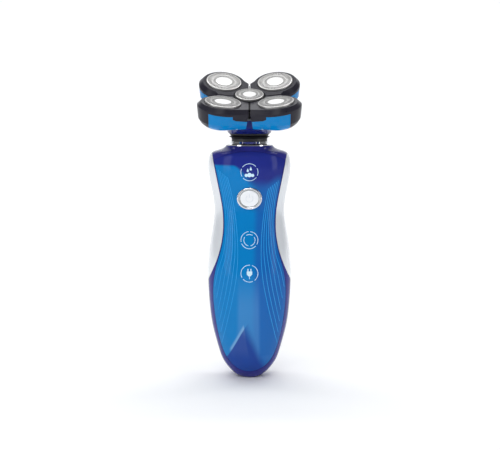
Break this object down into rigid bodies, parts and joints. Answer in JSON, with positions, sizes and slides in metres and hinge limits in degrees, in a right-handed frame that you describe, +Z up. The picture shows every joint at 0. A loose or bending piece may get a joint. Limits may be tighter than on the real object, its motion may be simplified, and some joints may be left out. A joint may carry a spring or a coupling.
{
  "type": "rotary electric shaver",
  "caption": "Hand-held rotary shaver: waisted glossy handle with power button and charging inlet, and a tilting pull-off head of sprung slotted caps over gear-driven spinning cutters.",
  "frame": {"origin": "centre of the charging inlet's mouth, on the small flat at the lower end of the handle", "axes": "+Z up along the handle towards the head, -Y out of the front face with the power button, +X to the viewer's right when looking at the front"},
  "size_m": [0.056, 0.0567, 0.1713],
  "materials": {
    "azure_gloss": "deep gloss over metallic blue",
    "indigo_gloss": "gloss, dark indigo",
    "pearl_silver": "pearl silver, glossy",
    "dark_rear": "gloss, dark indigo",
    "chrome_trim": "mirror",
    "white_button": "gloss white",
    "head_black": "satin dark grey",
    "cup_blue": "clear tinted blue",
    "base_indigo": "gloss, dark indigo",
    "boot_rubber": "matte black",
    "cap_steel": "fine turned",
    "blade_steel": "ground",
    "gear_plastic": "natural white",
    "black_plastic": "matte black",
    "grey_plastic": "matte",
    "board_green": "solder mask",
    "led_white": "translucent white",
    "guide_clear": "clear",
    "cell_wrap": "shrink sleeve",
    "contact_nickel": "nickel plate",
    "screw_steel": "zinc plate",
    "motor_can": "plated can",
    "seal_rubber": "matte",
    "shaft_steel": "ground"
  },
  "bodies": {
    "handle": {"front_panel": "azure_gloss", "handle_frame": "indigo_gloss", "side_trim_left": "pearl_silver", "side_trim_right": "pearl_silver", "rear_housing": "dark_rear", "button_bezel": "chrome_trim", "circuit_board": "board_green", "tact_switch": "black_plastic", "indicator_leds": "led_white", "light_guides": "guide_clear", "chassis": "grey_plastic", "chassis_screws": "screw_steel", "battery": "cell_wrap", "battery_contacts": "contact_nickel", "motor": "motor_can", "motor_mount": "grey_plastic", "motor_screws": "screw_steel", "shaft_seal": "seal_rubber", "charge_socket": "black_plastic", "inlet_contacts": "contact_nickel", "neck_collar": "chrome_trim"},
    "button": {"power_button": "white_button"},
    "rotor": {"motor_shaft": "shaft_steel", "drive_ball": "gear_plastic"},
    "neck": {"neck_socket": "black_plastic", "neck_boot": "boot_rubber"},
    "gimbal": {"gimbal_ring": "shaft_steel"},
    "head": {"head_base": "base_indigo", "gear_plate": "grey_plastic", "hub_ring": "head_black", "hinge_pins": "shaft_steel"},
    "sun": {"sun_gear": "gear_plastic", "drive_socket": "gear_plastic"},
    "centre_cap": {"cap_centre": "cap_steel"},
    "centre_cutter": {"cutter_centre": "blade_steel"},
    "planet_front_left": {"planet_gear_front_left": "gear_plastic"},
    "pod_front_left": {"pod_frame_front_left": "head_black", "pod_cup_front_left": "cup_blue"},
    "cap_front_left": {"cap_front_left": "cap_steel"},
    "cutter_front_left": {"cutter_front_left": "blade_steel"},
    "planet_front_right": {"planet_gear_front_right": "gear_plastic"},
    "pod_front_right": {"pod_frame_front_right": "head_black", "pod_cup_front_right": "cup_blue"},
    "cap_front_right": {"cap_front_right": "cap_steel"},
    "cutter_front_right": {"cutter_front_right": "blade_steel"},
    "planet_rear_left": {"planet_gear_rear_left": "gear_plastic"},
    "pod_rear_left": {"pod_frame_rear_left": "head_black", "pod_cup_rear_left": "cup_blue"},
    "cap_rear_left": {"cap_rear_left": "cap_steel"},
    "cutter_rear_left": {"cutter_rear_left": "blade_steel"},
    "planet_rear_right": {"planet_gear_rear_right": "gear_plastic"},
    "pod_rear_right": {"pod_frame_rear_right": "head_black", "pod_cup_rear_right": "cup_blue"},
    "cap_rear_right": {"cap_rear_right": "cap_steel"},
    "cutter_rear_right": {"cutter_rear_right": "blade_steel"}
  },
  "joints": [
    {"name": "button_press", "type": "slide", "parent": "handle", "child": "button", "axis": [0, 1, 0], "range_m": [0, 0.0008], "stiffness_N_per_m": 600, "springref_m": -0.0008},
    {"name": "motor_spin", "type": "hinge", "parent": "handle", "child": "rotor", "pos_m": [0, 0, 0.1], "axis": [0, 0, 1], "continuous": true},
    {"name": "neck_pull", "type": "slide", "parent": "handle", "child": "neck", "axis": [0, 0, 1], "range_m": [0, 0.015]},
    {"name": "head_pitch", "type": "hinge", "parent": "neck", "child": "gimbal", "pos_m": [0, 0, 0.1351], "axis": [1, 0, 0], "range_deg": [-8, 8], "stiffness_Nm_per_rad": 0.08, "deforming": ["neck_boot"]},
    {"name": "head_roll", "type": "hinge", "parent": "gimbal", "child": "head", "pos_m": [0, 0, 0.1351], "axis": [0, 1, 0], "range_deg": [-8, 8], "stiffness_Nm_per_rad": 0.08, "deforming": ["neck_boot"]},
    {"name": "sun_spin", "type": "hinge", "parent": "head", "child": "sun", "pos_m": [0, -0.00999, 0.15921], "axis": [0, -0.3827, 0.9239], "continuous": true},
    {"name": "centre_cap_press", "type": "slide", "parent": "head", "child": "centre_cap", "axis": [0, 0.3827, -0.9239], "range_m": [0, 0.0008], "stiffness_N_per_m": 350, "springref_m": -0.0015},
    {"name": "centre_cutter_spin", "type": "hinge", "parent": "centre_cap", "child": "centre_cutter", "pos_m": [0, -0.00999, 0.15921], "axis": [0, -0.3827, 0.9239], "continuous": true},
    {"name": "planet_spin_front_left", "type": "hinge", "parent": "head", "child": "planet_front_left", "pos_m": [-0.01485, -0.02042, 0.14558], "axis": [0, -0.3827, 0.9239], "continuous": true},
    {"name": "pod_tilt_front_left", "type": "hinge", "parent": "head", "child": "pod_front_left", "pos_m": [-0.00721, -0.01474, 0.15183], "axis": [0.7071, -0.6533, -0.2706], "range_deg": [0, 5], "stiffness_Nm_per_rad": 0.05, "springref_deg": -20.05},
    {"name": "cap_press_front_left", "type": "slide", "parent": "pod_front_left", "child": "cap_front_left", "axis": [-0.1106, 0.2758, -0.9548], "range_m": [0, 0.0008], "stiffness_N_per_m": 350, "springref_m": -0.0015},
    {"name": "cutter_spin_front_left", "type": "hinge", "parent": "cap_front_left", "child": "cutter_front_left", "pos_m": [-0.0142, -0.02345, 0.15461], "axis": [0.1106, -0.2758, 0.9548], "continuous": true},
    {"name": "planet_spin_front_right", "type": "hinge", "parent": "head", "child": "planet_front_right", "pos_m": [0.01485, -0.02042, 0.14558], "axis": [0, -0.3827, 0.9239], "continuous": true},
    {"name": "pod_tilt_front_right", "type": "hinge", "parent": "head", "child": "pod_front_right", "pos_m": [0.00721, -0.01474, 0.15183], "axis": [0.7071, 0.6533, 0.2706], "range_deg": [0, 5], "stiffness_Nm_per_rad": 0.05, "springref_deg": -20.05},
    {"name": "cap_press_front_right", "type": "slide", "parent": "pod_front_right", "child": "cap_front_right", "axis": [0.1106, 0.2758, -0.9548], "range_m": [0, 0.0008], "stiffness_N_per_m": 350, "springref_m": -0.0015},
    {"name": "cutter_spin_front_right", "type": "hinge", "parent": "cap_front_right", "child": "cutter_front_right", "pos_m": [0.0142, -0.02345, 0.15461], "axis": [-0.1106, -0.2758, 0.9548], "continuous": true},
    {"name": "planet_spin_rear_left", "type": "hinge", "parent": "head", "child": "planet_rear_left", "pos_m": [-0.01485, 0.00702, 0.15695], "axis": [0, -0.3827, 0.9239], "continuous": true},
    {"name": "pod_tilt_rear_left", "type": "hinge", "parent": "head", "child": "pod_rear_left", "pos_m": [-0.00721, -0.00141, 0.15735], "axis": [-0.7071, -0.6533, -0.2706], "range_deg": [0, 5], "stiffness_Nm_per_rad": 0.05, "springref_deg": -20.05},
    {"name": "cap_press_rear_left", "type": "slide", "parent": "pod_rear_left", "child": "cap_rear_left", "axis": [-0.1106, 0.4802, -0.8702], "range_m": [0, 0.0008], "stiffness_N_per_m": 350, "springref_m": -0.0015},
    {"name": "cutter_spin_rear_left", "type": "hinge", "parent": "cap_rear_left", "child": "cutter_rear_left", "pos_m": [-0.0142, 0.00279, 0.16548], "axis": [0.1106, -0.4802, 0.8702], "continuous": true},
    {"name": "planet_spin_rear_right", "type": "hinge", "parent": "head", "child": "planet_rear_right", "pos_m": [0.01485, 0.00702, 0.15695], "axis": [0, -0.3827, 0.9239], "continuous": true},
    {"name": "pod_tilt_rear_right", "type": "hinge", "parent": "head", "child": "pod_rear_right", "pos_m": [0.00721, -0.00141, 0.15735], "axis": [-0.7071, 0.6533, 0.2706], "range_deg": [0, 5], "stiffness_Nm_per_rad": 0.05, "springref_deg": -20.05},
    {"name": "cap_press_rear_right", "type": "slide", "parent": "pod_rear_right", "child": "cap_rear_right", "axis": [0.1106, 0.4802, -0.8702], "range_m": [0, 0.0008], "stiffness_N_per_m": 350, "springref_m": -0.0015},
    {"name": "cutter_spin_rear_right", "type": "hinge", "parent": "cap_rear_right", "child": "cutter_rear_right", "pos_m": [0.0142, 0.00279, 0.16548], "axis": [-0.1106, -0.4802, 0.8702], "continuous": true}
  ],
  "couplings": [
    {"joint": "sun_spin", "follows": "motor_spin", "ratio": 1},
    {"joint": "centre_cutter_spin", "follows": "motor_spin", "ratio": 1},
    {"joint": "planet_spin_front_left", "follows": "motor_spin", "ratio": -4},
    {"joint": "cutter_spin_front_left", "follows": "motor_spin", "ratio": -4},
    {"joint": "planet_spin_front_right", "follows": "motor_spin", "ratio": -4},
    {"joint": "cutter_spin_front_right", "follows": "motor_spin", "ratio": -4},
    {"joint": "planet_spin_rear_left", "follows": "motor_spin", "ratio": -4},
    {"joint": "cutter_spin_rear_left", "follows": "motor_spin", "ratio": -4},
    {"joint": "planet_spin_rear_right", "follows": "motor_spin", "ratio": -4},
    {"joint": "cutter_spin_rear_right", "follows": "motor_spin", "ratio": -4}
  ]
}
